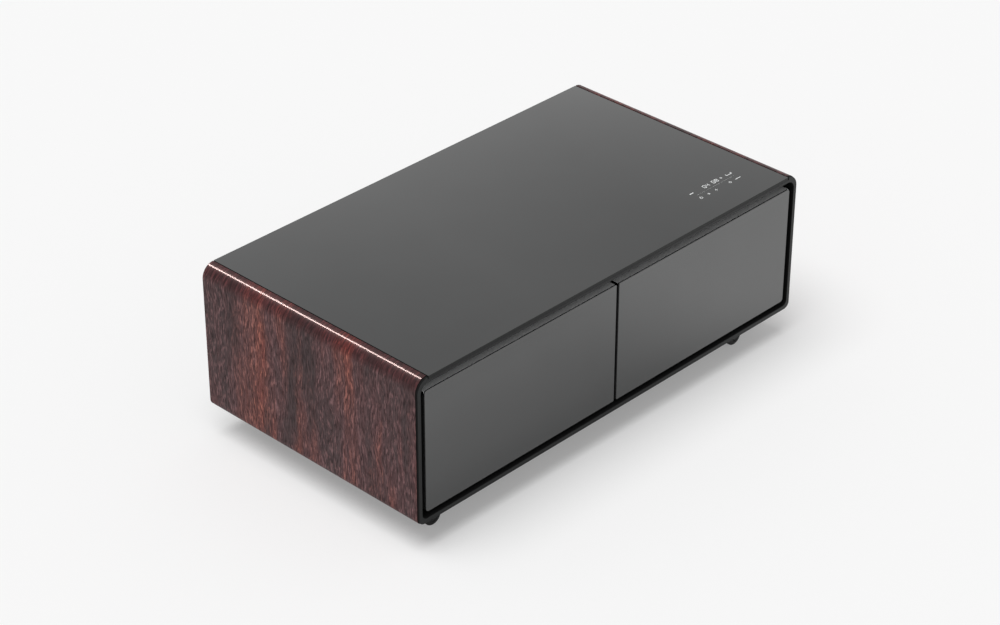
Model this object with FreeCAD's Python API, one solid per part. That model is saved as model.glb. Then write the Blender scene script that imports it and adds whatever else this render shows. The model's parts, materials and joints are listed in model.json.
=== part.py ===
import FreeCAD, Part
import math
import os

# A refrigerator coffee table on casters: a wood-sided cabinet under a glass top, with two
# insulated drawers on telescopic slides and a cooling unit behind them.
# Millimetres. The origin is on the floor under the middle, +X to the right of someone facing
# the drawers, +Y to the back, +Z up.

# Overall size
overall_length = 1300.0
overall_depth = 702.0
overall_height = 460.0
caster_height = 76.0
body_corner_radius = 35.0
body_base_radius = 18.0
smallest_radius = 1.0
same_place = 1e-6

# Outer panels
panel_thickness = 10.0
panel_lip_short = 1.5
panel_front_gap = 0.5
panel_edge_round = 1.2
glass_thickness = 8.0
glass_seam = 3.0
glass_front_gap = 0.4
glass_chamfer = 1.0
deck_thickness = 12.0
deck_front_thickness = 6.0
base_thickness = 11.0
base_side_gap = 0.5
back_thickness = 3.0
back_edge_gap = 0.4
back_recess = 3.0

# Bezel around the drawers
bezel_inset = 1.5
bezel_thickness = 5.0
bezel_sleeve_wall = 2.0
bezel_edge_round = 0.8
opening_base_radius = 14.0
face_frame_thickness = 3.0

# Insulated compartments
insulation_side = 42.0
insulation_top_thickness = 40.0
insulation_bottom_thickness = 42.5
insulation_rear_thickness = 37.0
divider_thickness = 40.0
insulation_corner_ease = 2.0
liner_wall = 2.0
machine_depth = 154.0

# Drawer fronts
drawer_recess = 2.0
reveal_side = 13.5
reveal_bottom = 14.5
finger_gap = 21.0
drawer_gap = 9.0
drawer_corner_radius = 8.0
drawer_small_radius = 3.0
drawer_glass_thickness = 4.0
drawer_glass_chamfer = 0.8
door_depth = 34.0
door_wall = 3.0
pull_height = 10.0
pull_reach = 30.0
pull_fall = 1.5
pull_round = 2.0
gasket_width = 13.5
gasket_thickness = 8.0
gasket_clearance = 0.3

# Drawer tubs
tub_wall = 2.5
tub_floor = 3.0
tub_corner_radius = 24.0
tub_base_radius = 10.0
tub_rim_width = 5.0
tub_rim_height = 4.0
tub_top_clearance = 14.0
tub_floor_clearance = 8.0
tub_rear_clearance = 8.0

# Telescopic slides
slide_width = 13.0
slide_height = 45.0
slide_setback = 6.0
slide_rear_gap = 13.0
slide_sheet = 1.5
slide_gap = 0.3
slide_web_gap = 0.5
slide_lip = 2.0

# Casters
front_caster_inset_x = 120.0
rear_caster_inset_x = 160.0
caster_inset_y = 69.5
caster_trail = 16.5
wheel_radius = 25.0
wheel_width = 20.0
wheel_hub_radius = 15.0
wheel_hub_recess = 2.0
wheel_boss_radius = 6.0
wheel_edge_round = 3.0
wheel_side_gap = 0.8
axle_radius = 3.0
axle_head_radius = 5.5
axle_head_height = 1.5
axle_clearance = 0.05
axle_seat_clearance = 0.02
fork_cheek = 2.5
fork_eye_radius = 9.0
fork_head_radius = 22.0
fork_head_height = 6.5
fork_end_gap = 0.3
king_pin_radius = 5.0
king_pin_head_radius = 8.0
king_pin_head_height = 3.0
king_pin_clearance = 0.05
caster_plate_size = 70.0
caster_plate_thickness = 3.0
caster_plate_radius = 6.0
caster_screw_pitch = 52.0
screw_radius = 2.4
screw_head_radius = 4.5
screw_head_height = 2.5
screw_clearance = 0.1
screw_depth = 9.0

# Cooling unit
evaporator_thickness = 3.0
evaporator_side_margin = 40.0
evaporator_height_margin = 35.0
evaporator_neck = 40.0
compressor_x = -330.0
compressor_radius = 58.0
compressor_height = 140.0
compressor_round = 28.0
compressor_pipe_share = 0.67
compressor_foot_length = 176.0
compressor_foot_width = 112.0
compressor_foot_thickness = 3.0
terminal_box_size = 44.0
terminal_box_reach = 22.0
grommet_radius = 11.0
grommet_height = 15.0
grommet_inset = 16.0
fan_x = -20.0
fan_size = 150.0
fan_depth = 30.0
fan_wall = 5.0
fan_tip_gap = 3.0
fan_hub_radius = 20.0
fan_blade_count = 7
fan_blade_chord = 30.0
fan_blade_thickness = 2.0
fan_blade_pitch = 32.0
fan_strut_width = 8.0
fan_strut_depth = 4.0
fan_shaft_radius = 2.5
fan_shaft_clearance = 0.05
fan_end_gap = 0.4
fan_corner_radius = 8.0
condenser_gap = 6.0
condenser_depth = 40.0
condenser_passes = 5
condenser_margin = 19.0
tube_radius = 4.0
tube_seat_clearance = 0.05
fin_count = 24
fin_thickness = 1.0
fin_spread = 288.0
pipe_bend_radius = 14.0
pipe_bore_clearance = 0.3
drier_radius = 10.0
drier_length = 60.0
drier_round = 5.0
drier_offset = 24.0
capillary_rise = 150.0
suction_x_gap = 40.0
tray_length = 220.0
tray_width = 110.0
tray_height = 22.0
tray_wall = 2.0

# Electrics
board_x = 330.0
board_length = 170.0
board_height = 100.0
board_thickness = 1.6
board_standoff = 8.0
board_standoff_radius = 4.0
board_standoff_inset = 10.0
board_drop = 40.0
relay_size = 22.0
relay_depth = 16.0
relay_count = 4
supply_x = 200.0
supply_length = 130.0
supply_width = 80.0
supply_height = 42.0
supply_round = 4.0
inlet_side_inset = 140.0
inlet_rise = 70.0
inlet_flange_length = 50.0
inlet_flange_height = 26.0
inlet_flange_thickness = 2.5
inlet_body_length = 30.0
inlet_body_height = 22.0
inlet_body_depth = 26.0
inlet_socket_length = 24.0
inlet_socket_height = 16.0
inlet_socket_depth = 19.0
inlet_round = 3.0
pin_length = 13.0
pin_width = 2.0
pin_height = 4.0
pin_spread = 7.0
pin_raise = 2.0
touch_side_inset = 148.5
touch_front_inset = 102.0
touch_length = 180.0
touch_width = 56.0
touch_board_thickness = 1.6
display_length = 60.0
display_width = 16.0
display_height = 4.0
charger_x = 148.0
charger_front_inset = 94.0
charger_radius = 34.0
charger_bore_radius = 10.0
charger_height = 4.0
pocket_margin = 5.0
pocket_depth = 8.0

# Back panel
vent_count = 9
vent_length = 180.0
vent_height = 6.0
vent_end_flat = 0.1
vent_pitch = 15.0
vent_base_rise = 60.0
back_screw_count = 4
back_screw_inset = 93.5

# Levels and planes worked out from the sizes above
half_length = overall_length / 2
front_y = -overall_depth / 2
rear_y = overall_depth / 2
body_bottom = caster_height
body_top = overall_height
bezel_back = front_y + bezel_thickness
panel_front = bezel_back + panel_front_gap
drawer_front = front_y + drawer_recess
panel_inner_x = half_length - panel_thickness
panel_lip_x = half_length - body_corner_radius + panel_lip_short
glass_half = panel_lip_x - glass_seam
core_half = panel_lip_x - base_side_gap
glass_under = body_top - glass_thickness
deck_under = glass_under - deck_thickness
deck_front_under = glass_under - deck_front_thickness
base_top = body_bottom + base_thickness
back_front = rear_y - back_recess - back_thickness
back_rear = back_front + back_thickness
vent_end_radius = (vent_height - vent_end_flat) / 2

sleeve_x = panel_inner_x
sleeve_bottom = base_top
sleeve_top = deck_front_under
sleeve_radius = max(body_corner_radius - panel_thickness, smallest_radius)
sleeve_base_radius = max(body_base_radius - panel_thickness, smallest_radius)
opening_x = sleeve_x - bezel_sleeve_wall
opening_bottom = sleeve_bottom + bezel_sleeve_wall
opening_top = sleeve_top - bezel_sleeve_wall
opening_radius = max(sleeve_radius - bezel_sleeve_wall, smallest_radius)
face_y = drawer_front + drawer_glass_thickness + door_depth + gasket_thickness
face_back = face_y + face_frame_thickness

cavity_inner_x = divider_thickness / 2
cavity_outer_x = panel_inner_x - insulation_side
cavity_bottom = base_top + insulation_bottom_thickness
cavity_top = deck_under - insulation_top_thickness
machine_front = back_front - machine_depth
evaporator_rear = machine_front - insulation_rear_thickness
cavity_rear = evaporator_rear - evaporator_thickness
liner_inner_x = cavity_inner_x + liner_wall
liner_outer_x = cavity_outer_x - liner_wall
liner_floor = cavity_bottom + liner_wall
liner_ceiling = cavity_top - liner_wall
liner_rear = cavity_rear - liner_wall
machine_middle = (machine_front + back_front) / 2

drawer_inner_x = drawer_gap / 2
drawer_outer_x = opening_x - reveal_side
drawer_bottom = opening_bottom + reveal_bottom
drawer_top = opening_top - finger_gap
glass_back = drawer_front + drawer_glass_thickness
door_rear = glass_back + door_depth
door_top = drawer_top - pull_height
tub_x0 = liner_inner_x + slide_width
tub_x1 = liner_outer_x - slide_width
tub_rear = liner_rear - tub_rear_clearance
tub_bottom = liner_floor + tub_floor_clearance
tub_top = liner_ceiling - tub_top_clearance
slide_front = face_back + slide_setback
slide_rear = liner_rear - slide_rear_gap
slide_middle_z = (tub_bottom + tub_top) / 2

front_caster_x = half_length - front_caster_inset_x
rear_caster_x = half_length - rear_caster_inset_x
caster_y = rear_y - caster_inset_y
plate_under = body_bottom - caster_plate_thickness
fork_head_top = plate_under - fork_end_gap
fork_head_bottom = fork_head_top - fork_head_height
fork_cheek_inner = wheel_width / 2 + wheel_side_gap

fan_front = machine_middle
fan_bore_radius = fan_size / 2 - fan_wall
condenser_pitch = (fan_size - 2 * condenser_margin) / (condenser_passes - 1)
fan_z = base_top + fan_size / 2
condenser_rear = fan_front - condenser_gap
condenser_y = condenser_rear - condenser_depth / 2
condenser_low_z = fan_z - condenser_pitch * (condenser_passes - 1) / 2
condenser_high_z = fan_z + condenser_pitch * (condenser_passes - 1) / 2
tube_left_x = fan_x - fin_spread / 2 - tube_radius
tube_right_x = fan_x + fin_spread / 2 + tube_radius
compressor_base = base_top + grommet_height
compressor_pipe_z = compressor_base + compressor_height * compressor_pipe_share

inlet_x = panel_inner_x - inlet_side_inset
touch_x = glass_half - touch_side_inset
touch_y = front_y + touch_front_inset
charger_y = front_y + charger_front_inset


def vec(x, y, z):
    return FreeCAD.Vector(x, y, z)


def block(x0, x1, y0, y1, z0, z1):
    return Part.makeBox(x1 - x0, y1 - y0, z1 - z0, vec(x0, y0, z0))


def rod(start, end, radius):
    return Part.makeCylinder(radius, (end - start).Length, start, end - start)


def rounded_wire(x0, x1, z0, z1, radii, y):
    # radii are for the low left, low right, high right and high left corners
    low_left, low_right, high_right, high_left = radii
    slant = math.sqrt(0.5)
    corners = (
        (x0, z0, low_left, 1, 1),
        (x1, z0, low_right, -1, 1),
        (x1, z1, high_right, -1, -1),
        (x0, z1, high_left, 1, -1),
    )
    arcs = []
    for index, (x, z, radius, into_x, into_z) in enumerate(corners):
        centre_x = x + into_x * radius
        centre_z = z + into_z * radius
        on_upright = vec(x, y, centre_z)
        on_level = vec(centre_x, y, z)
        middle = vec(centre_x - into_x * radius * slant, y, centre_z - into_z * radius * slant)
        ends = (on_upright, on_level) if index % 2 == 0 else (on_level, on_upright)
        arcs.append((ends[0], middle, ends[1]))
    edges = []
    for index, (start, middle, end) in enumerate(arcs):
        edges.append(Part.Arc(start, middle, end).toShape())
        edges.append(Part.LineSegment(end, arcs[(index + 1) % 4][0]).toShape())
    return Part.Wire(edges)


def rounded_prism(x0, x1, z0, z1, radii, y0, y1):
    face = Part.Face(rounded_wire(x0, x1, z0, z1, radii, y0))
    return face.extrude(vec(0, y1 - y0, 0))


def even_prism(half_x, z0, z1, base_radius, top_radius, y0, y1):
    radii = (base_radius, base_radius, top_radius, top_radius)
    return rounded_prism(-half_x, half_x, z0, z1, radii, y0, y1)


def flat_plate(x0, x1, y0, y1, z0, z1, radius):
    plate = block(x0, x1, y0, y1, z0, z1)
    uprights = [e for e in plate.Edges if abs(e.tangentAt(e.FirstParameter).z) > 0.9]
    return plate.makeFillet(radius, uprights)


def edges_on_plane(shape, axis, value):
    picked = []
    for edge in shape.Edges:
        if all(abs(getattr(v.Point, axis) - value) < same_place for v in edge.Vertexes):
            middle = edge.valueAt((edge.FirstParameter + edge.LastParameter) / 2)
            if abs(getattr(middle, axis) - value) < same_place:
                picked.append(edge)
    return picked


def mirrored(shape):
    return shape.mirror(vec(0, 0, 0), vec(1, 0, 0))


def pipe(points, radius, bend_radius):
    # A tube along straight runs joined by arcs of one bend radius
    edges = []
    at = points[0]
    for before, corner, after in zip(points, points[1:], points[2:]):
        back = (before - corner).normalize()
        onward = (after - corner).normalize()
        turn = math.pi - back.getAngle(onward)
        reach = bend_radius * math.tan(turn / 2)
        inward = (back + onward).normalize()
        to_centre = bend_radius / math.cos(turn / 2)
        middle = corner + inward * (to_centre - bend_radius)
        edges.append(Part.LineSegment(at, corner + back * reach).toShape())
        edges.append(Part.Arc(corner + back * reach, middle, corner + onward * reach).toShape())
        at = corner + onward * reach
    edges.append(Part.LineSegment(at, points[-1]).toShape())
    ring = Part.Wire(Part.makeCircle(radius, points[0], points[1] - points[0]))
    return Part.Wire(edges).makePipeShell([ring], True, True)


def save(name, *shapes):
    solids = [solid for shape in shapes for solid in shape.Solids]
    whole = solids[0] if len(solids) == 1 else Part.makeCompound(solids)
    whole.exportStep(os.path.join("parts", name + ".step"))


# Outer panels

def side_panel():
    outer = even_prism(half_length, body_bottom, body_top, body_base_radius, body_corner_radius,
                       panel_front, rear_y)
    ends = edges_on_plane(outer, "y", panel_front) + edges_on_plane(outer, "y", rear_y)
    outer = outer.makeFillet(panel_edge_round, ends)
    hollow = even_prism(panel_inner_x, body_bottom + panel_thickness, body_top - panel_thickness,
                        sleeve_base_radius, sleeve_radius, panel_front, rear_y)
    right_end = block(panel_lip_x, half_length, panel_front, rear_y, body_bottom, body_top)
    return outer.cut(hollow).common(right_end)


def glass_top():
    glass = block(-glass_half, glass_half, front_y + glass_front_gap, rear_y, glass_under, body_top)
    return glass.makeChamfer(glass_chamfer, edges_on_plane(glass, "z", body_top))


def touch_pocket():
    return block(touch_x - touch_length / 2 - pocket_margin, touch_x + touch_length / 2 + pocket_margin,
                 touch_y - touch_width / 2 - pocket_margin, touch_y + touch_width / 2 + pocket_margin,
                 glass_under - pocket_depth, glass_under)


def charger_pocket():
    reach = charger_radius + pocket_margin
    return block(charger_x - reach, charger_x + reach, charger_y - reach, charger_y + reach,
                 glass_under - pocket_depth, glass_under)


def back_screw_points(z):
    first = core_half - back_screw_inset
    step = 2 * first / (back_screw_count - 1)
    return [vec(-first + step * column, back_rear, z) for column in range(back_screw_count)]


def back_screws():
    return back_screw_points((body_bottom + base_top) / 2) + back_screw_points((deck_under + glass_under) / 2)


def screw_holes(points, into):
    return [rod(p, p + into * (screw_depth + back_thickness), screw_radius + screw_clearance) for p in points]


def top_deck():
    main = block(-core_half, core_half, face_back, back_front, deck_under, glass_under)
    front = block(-core_half, core_half, bezel_back, face_back, deck_front_under, glass_under)
    deck = main.fuse(front).removeSplitter()
    cuts = [touch_pocket(), charger_pocket()] + screw_holes(back_screws(), vec(0, -1, 0))
    return deck.cut(Part.makeCompound(cuts))


def base_plate():
    plate = block(-core_half, core_half, bezel_back, back_front, body_bottom, base_top)
    cuts = screw_holes(back_screws(), vec(0, -1, 0)) + screw_holes(caster_screw_points(), vec(0, 0, 1))
    return plate.cut(Part.makeCompound(cuts))


def back_vents():
    slots = []
    for x in (compressor_x, fan_x):
        for row in range(vent_count):
            z = base_top + vent_base_rise + row * vent_pitch
            slots.append(rounded_prism(x - vent_length / 2, x + vent_length / 2, z, z + vent_height,
                                       (vent_end_radius,) * 4, back_front, back_rear))
    return slots


def back_panel():
    between = even_prism(panel_inner_x - back_edge_gap, body_bottom + panel_thickness + back_edge_gap,
                         body_top - panel_thickness - back_edge_gap, sleeve_base_radius, sleeve_radius,
                         back_front, back_rear)
    half = panel_lip_x - back_edge_gap
    tall = block(-half, half, back_front, back_rear, body_bottom, glass_under)
    panel = between.fuse(tall).removeSplitter()
    inlet_hole = inlet_prism(inlet_body_length, inlet_body_height, inlet_round, back_front, back_rear)
    cuts = back_vents() + screw_holes(back_screws(), vec(0, -1, 0)) + [inlet_hole]
    return panel.cut(Part.makeCompound(cuts))


def back_panel_screws():
    screws = []
    for point in back_screws():
        head = rod(point, point + vec(0, screw_head_height, 0), screw_head_radius)
        shank = rod(point, point - vec(0, screw_depth, 0), screw_radius)
        screws.append(head.fuse(shank).removeSplitter())
    return screws


# Bezel, face frame and the insulated compartments

def front_bezel():
    # A flange in front of the wood and a sleeve behind it; the glass top lies in a notch of the flange
    flange = even_prism(half_length - bezel_inset, body_bottom + bezel_inset, body_top - bezel_inset,
                        body_base_radius - bezel_inset, body_corner_radius - bezel_inset, front_y, bezel_back)
    flange = flange.cut(block(-panel_lip_x, panel_lip_x, front_y, bezel_back, glass_under, body_top))
    sleeve = even_prism(sleeve_x, sleeve_bottom, sleeve_top, sleeve_base_radius, sleeve_radius,
                        bezel_back, face_y)
    opening = even_prism(opening_x, opening_bottom, opening_top, opening_base_radius, opening_radius,
                         front_y, face_y)
    bezel = flange.fuse(sleeve).cut(opening).removeSplitter()
    return bezel.makeFillet(bezel_edge_round, edges_on_plane(bezel, "y", front_y))


def face_frame():
    plate = even_prism(sleeve_x, sleeve_bottom, sleeve_top, sleeve_base_radius, sleeve_radius,
                       face_y, face_back)
    mouth = block(liner_inner_x, liner_outer_x, face_y, face_back, liner_floor, liner_ceiling)
    return plate.cut(mouth).cut(mirrored(mouth))


def insulation_envelope(y0, y1):
    base_radius = sleeve_base_radius + insulation_corner_ease
    top_radius = sleeve_radius + insulation_corner_ease
    return even_prism(panel_inner_x, body_bottom + panel_thickness, body_top - panel_thickness,
                      base_radius, top_radius, y0, y1)


def insulation_side_slab():
    slab = block(cavity_outer_x, panel_inner_x, face_back, evaporator_rear, base_top, deck_under)
    return slab.common(insulation_envelope(face_back, evaporator_rear))


def insulation_rear():
    slab = block(-panel_inner_x, panel_inner_x, evaporator_rear, machine_front, base_top, deck_under)
    slab = slab.common(insulation_envelope(evaporator_rear, machine_front))
    hole_radius = tube_radius + pipe_bore_clearance
    for point in (suction_points()[0], liquid_points()[-1]):
        slab = slab.cut(rod(point, point + vec(0, insulation_rear_thickness, 0), hole_radius))
    return slab


def insulation_top():
    return block(-cavity_outer_x, cavity_outer_x, face_back, evaporator_rear, cavity_top, deck_under)


def insulation_bottom():
    return block(-cavity_outer_x, cavity_outer_x, face_back, evaporator_rear, base_top, cavity_bottom)


def insulation_divider():
    return block(-cavity_inner_x, cavity_inner_x, face_back, cavity_rear, cavity_bottom, cavity_top)


def liner():
    outer = block(cavity_inner_x, cavity_outer_x, face_back, cavity_rear, cavity_bottom, cavity_top)
    inner = block(liner_inner_x, liner_outer_x, face_back, liner_rear, liner_floor, liner_ceiling)
    return outer.cut(inner)


def evaporator_plate():
    x0 = cavity_inner_x + evaporator_side_margin
    x1 = cavity_outer_x - evaporator_side_margin
    z0 = cavity_bottom + evaporator_height_margin
    z1 = cavity_top - evaporator_height_margin
    middle = (z0 + z1) / 2
    right = flat_wall(x0, x1, z0, z1)
    neck = flat_wall(-x0, x0, middle - evaporator_neck / 2, middle + evaporator_neck / 2)
    return right.fuse([mirrored(right), neck]).removeSplitter()


def flat_wall(x0, x1, z0, z1):
    return block(x0, x1, cavity_rear, evaporator_rear, z0, z1)


# Drawers, modelled at the right and mirrored for the left

def drawer_glass():
    radii = (drawer_small_radius, drawer_corner_radius, drawer_corner_radius, drawer_small_radius)
    glass = rounded_prism(drawer_inner_x, drawer_outer_x, drawer_bottom, drawer_top, radii,
                          drawer_front, glass_back)
    return glass.makeChamfer(drawer_glass_chamfer, edges_on_plane(glass, "y", drawer_front))


def drawer_shell():
    radii = (drawer_small_radius, drawer_corner_radius, drawer_small_radius, drawer_small_radius)
    shell = rounded_prism(drawer_inner_x, drawer_outer_x, drawer_bottom, door_top, radii,
                          glass_back, door_rear)
    return shell.cut(drawer_core())


def drawer_core():
    radii = (drawer_small_radius, drawer_corner_radius, drawer_small_radius, drawer_small_radius)
    return rounded_prism(drawer_inner_x + door_wall, drawer_outer_x - door_wall, drawer_bottom + door_wall,
                         door_top - door_wall, radii, glass_back + door_wall, door_rear)


def drawer_pull():
    # A bar behind the glass that rises to its rear edge, where the fingers hook in
    rear = drawer_front + pull_reach
    crest = drawer_top - pull_fall / 2
    profile = [
        vec(drawer_inner_x, glass_back, door_top),
        vec(drawer_inner_x, glass_back, crest - pull_fall),
        vec(drawer_inner_x, rear, crest),
        vec(drawer_inner_x, rear, door_top),
    ]
    face = Part.Face(Part.makePolygon(profile + profile[:1]))
    bar = face.extrude(vec(drawer_outer_x - drawer_inner_x, 0, 0))
    return bar.makeFillet(pull_round, edges_on_plane(bar, "z", crest))


def drawer_gasket():
    rear = face_y - gasket_clearance
    outer = block(cavity_inner_x - gasket_width, cavity_outer_x + gasket_width, door_rear, rear,
                  cavity_bottom - gasket_width, cavity_top + gasket_width)
    inner = block(cavity_inner_x, cavity_outer_x, door_rear, rear, cavity_bottom, cavity_top)
    return outer.cut(inner)


def drawer_tub():
    tub_front = door_rear + tub_rim_width
    outer = flat_plate(tub_x0, tub_x1, tub_front, tub_rear, tub_bottom, tub_top, tub_corner_radius)
    outer = outer.makeFillet(tub_base_radius, edges_on_plane(outer, "z", tub_bottom))
    inner = flat_plate(tub_x0 + tub_wall, tub_x1 - tub_wall, tub_front + tub_wall, tub_rear - tub_wall,
                       tub_bottom + tub_floor, tub_top, tub_corner_radius - tub_wall)
    inner = inner.makeFillet(tub_base_radius - tub_wall, edges_on_plane(inner, "z", tub_bottom + tub_floor))
    rim = flat_plate(tub_x0 - tub_rim_width, tub_x1 + tub_rim_width, door_rear, tub_rear + tub_rim_width,
                     tub_top - tub_rim_height, tub_top, tub_corner_radius + tub_rim_width)
    return outer.fuse(rim).cut(inner).removeSplitter()


# Telescopic slides: three nested channels on each side of a tub

def channel(web_x, web_out, reach_x, half_height, shift):
    # A web on one side and two flanges that reach towards the other
    y0 = slide_front
    y1 = slide_rear
    low = slide_middle_z - half_height
    high = slide_middle_z + half_height
    web = block(min(web_x, web_out), max(web_x, web_out), y0, y1, low, high)
    flange_x0 = min(web_x, reach_x)
    flange_x1 = max(web_x, reach_x)
    lower = block(flange_x0, flange_x1, y0, y1, low, low + slide_sheet)
    upper = block(flange_x0, flange_x1, y0, y1, high - slide_sheet, high)
    rail = web.fuse([lower, upper]).removeSplitter()
    rail.translate(vec(shift, 0, 0))
    return rail


def slide_rails(kind):
    # Both rails of one kind for the right drawer, the first on the liner's inner side wall
    middle_web = slide_sheet + slide_web_gap
    inner_half = slide_height / 2 - 2 * (slide_sheet + slide_gap)
    makers = {
        "outer": (0.0, slide_sheet, slide_width - slide_lip, slide_height / 2),
        "middle": (middle_web, middle_web + slide_sheet, slide_width - slide_sheet,
                   slide_height / 2 - slide_sheet - slide_gap),
        "inner": (slide_width, slide_width - slide_sheet, middle_web + slide_sheet + slide_web_gap,
                  inner_half),
    }
    rail = channel(*makers[kind], liner_inner_x)
    centre = (liner_inner_x + liner_outer_x) / 2
    return [rail, rail.mirror(vec(centre, 0, 0), vec(1, 0, 0))]


# Casters

def caster_places():
    return {
        "front_left": (-front_caster_x, -caster_y),
        "front_right": (front_caster_x, -caster_y),
        "rear_left": (-rear_caster_x, caster_y),
        "rear_right": (rear_caster_x, caster_y),
    }


def caster_screw_points():
    half = caster_screw_pitch / 2
    points = []
    for x, y in caster_places().values():
        for side_x in (-half, half):
            for side_y in (-half, half):
                points.append(vec(x + side_x, y + side_y, plate_under))
    return points


def caster_plate(x, y):
    half = caster_plate_size / 2
    plate = flat_plate(x - half, x + half, y - half, y + half, plate_under, body_bottom, caster_plate_radius)
    pin_end = fork_head_bottom - fork_end_gap
    pin = rod(vec(x, y, plate_under), vec(x, y, pin_end), king_pin_radius)
    head = rod(vec(x, y, pin_end), vec(x, y, pin_end - king_pin_head_height), king_pin_head_radius)
    plate = plate.fuse([pin, head]).removeSplitter()
    holes = screw_holes(caster_screw_points(), vec(0, 0, 1))
    return plate.cut(Part.makeCompound(holes))


def caster_screws():
    screws = []
    for point in caster_screw_points():
        head = rod(point, point - vec(0, 0, screw_head_height), screw_head_radius)
        shank = rod(point, point + vec(0, 0, screw_depth), screw_radius)
        screws.append(head.fuse(shank).removeSplitter())
    return screws


def caster_fork(x, y):
    axle_x = x - caster_trail
    head = rod(vec(x, y, fork_head_bottom), vec(x, y, fork_head_top), fork_head_radius)
    outer = fork_cheek_inner + fork_cheek
    cheeks = [fork_cheek_plate(x, y + fork_cheek_inner), fork_cheek_plate(x, y - outer)]
    fork = head.fuse(cheeks).removeSplitter()
    pin_hole = rod(vec(x, y, fork_head_bottom), vec(x, y, fork_head_top),
                   king_pin_radius + king_pin_clearance)
    axle_hole = rod(vec(axle_x, y - outer, wheel_radius), vec(axle_x, y + outer, wheel_radius),
                    axle_radius + axle_seat_clearance)
    return fork.cut(pin_hole).cut(axle_hole)


def fork_cheek_plate(x, y):
    # A cheek that leans back from under the swivel head to the axle's eye
    axle_x = x - caster_trail
    half_head = math.sqrt(fork_head_radius ** 2 - (fork_cheek_inner + fork_cheek) ** 2)
    eye = rod(vec(axle_x, y, wheel_radius), vec(axle_x, y + fork_cheek, wheel_radius), fork_eye_radius)
    outline = [
        vec(x - half_head, y, fork_head_bottom),
        vec(x + half_head, y, fork_head_bottom),
        vec(axle_x + fork_eye_radius, y, wheel_radius),
        vec(axle_x - fork_eye_radius, y, wheel_radius),
    ]
    leg = Part.Face(Part.makePolygon(outline + outline[:1])).extrude(vec(0, fork_cheek, 0))
    return leg.fuse(eye).removeSplitter()


def caster_axle(x, y):
    axle_x = x - caster_trail
    outer = fork_cheek_inner + fork_cheek
    shaft = rod(vec(axle_x, y - outer, wheel_radius), vec(axle_x, y + outer, wheel_radius), axle_radius)
    heads = []
    for side in (-1, 1):
        start = vec(axle_x, y + side * outer, wheel_radius)
        heads.append(rod(start, start + vec(0, side * axle_head_height, 0), axle_head_radius))
    return shaft.fuse(heads).removeSplitter()


def caster_wheel(x, y):
    axle_x = x - caster_trail
    half = wheel_width / 2
    low = vec(axle_x, y - half, wheel_radius)
    high = vec(axle_x, y + half, wheel_radius)
    wheel = rod(low, high, wheel_radius)
    rims = edges_on_plane(wheel, "y", y - half) + edges_on_plane(wheel, "y", y + half)
    wheel = wheel.makeFillet(wheel_edge_round, rims)
    for side in (-1, 1):
        face = vec(axle_x, y + side * half, wheel_radius)
        floor = face - vec(0, side * wheel_hub_recess, 0)
        dish = rod(floor, face, wheel_hub_radius).cut(rod(floor, face, wheel_boss_radius))
        wheel = wheel.cut(dish)
    return wheel.cut(rod(low, high, axle_radius + axle_clearance))


# Cooling unit

def grommet_points():
    half_x = compressor_foot_length / 2 - grommet_inset
    half_y = compressor_foot_width / 2 - grommet_inset
    return [vec(compressor_x + side_x * half_x, machine_middle + side_y * half_y, base_top)
            for side_x in (-1, 1) for side_y in (-1, 1)]


def compressor():
    foot_top = compressor_base + compressor_foot_thickness
    foot = flat_plate(compressor_x - compressor_foot_length / 2, compressor_x + compressor_foot_length / 2,
                      machine_middle - compressor_foot_width / 2, machine_middle + compressor_foot_width / 2,
                      compressor_base, foot_top, grommet_inset)
    can = rod(vec(compressor_x, machine_middle, foot_top),
              vec(compressor_x, machine_middle, compressor_base + compressor_height), compressor_radius)
    can = can.makeFillet(compressor_round, edges_on_plane(can, "z", compressor_base + compressor_height))
    half = terminal_box_size / 2
    box_z = compressor_base + compressor_height / 2
    terminal = block(compressor_x, compressor_x + compressor_radius + terminal_box_reach,
                     machine_middle - half, machine_middle + half, box_z - half, box_z)
    return foot.fuse([can, terminal]).removeSplitter()


def compressor_grommets():
    return [rod(p, p + vec(0, 0, grommet_height), grommet_radius) for p in grommet_points()]


def discharge_points():
    start_x = compressor_x + compressor_radius
    middle_x = (start_x + tube_left_x - condenser_pitch) / 2
    return [
        vec(start_x, machine_middle, compressor_pipe_z),
        vec(middle_x, machine_middle, compressor_pipe_z),
        vec(middle_x, condenser_y, condenser_high_z),
        vec(tube_left_x, condenser_y, condenser_high_z),
    ]


def suction_points():
    x = compressor_x - compressor_radius - suction_x_gap
    return [
        vec(x, evaporator_rear, compressor_pipe_z),
        vec(x, machine_middle, compressor_pipe_z),
        vec(compressor_x - compressor_radius, machine_middle, compressor_pipe_z),
    ]


def drier_start():
    return vec(tube_right_x + drier_offset, condenser_y, condenser_low_z)


def liquid_points():
    start = drier_start() + vec(drier_length, 0, 0)
    corner = start + vec(drier_offset + pipe_bend_radius, 0, 0)
    above = corner + vec(0, 0, capillary_rise)
    return [start, corner, above, vec(above.x, evaporator_rear, above.z)]


def refrigerant_pipes():
    link = [vec(tube_right_x, condenser_y, condenser_low_z), drier_start()]
    return [
        pipe(discharge_points(), tube_radius, pipe_bend_radius),
        pipe(suction_points(), tube_radius, pipe_bend_radius),
        pipe(link, tube_radius, pipe_bend_radius),
        pipe(liquid_points(), tube_radius, pipe_bend_radius),
    ]


def filter_drier():
    start = drier_start()
    drier = rod(start, start + vec(drier_length, 0, 0), drier_radius)
    ends = edges_on_plane(drier, "x", start.x) + edges_on_plane(drier, "x", start.x + drier_length)
    return drier.makeFillet(drier_round, ends)


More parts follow.
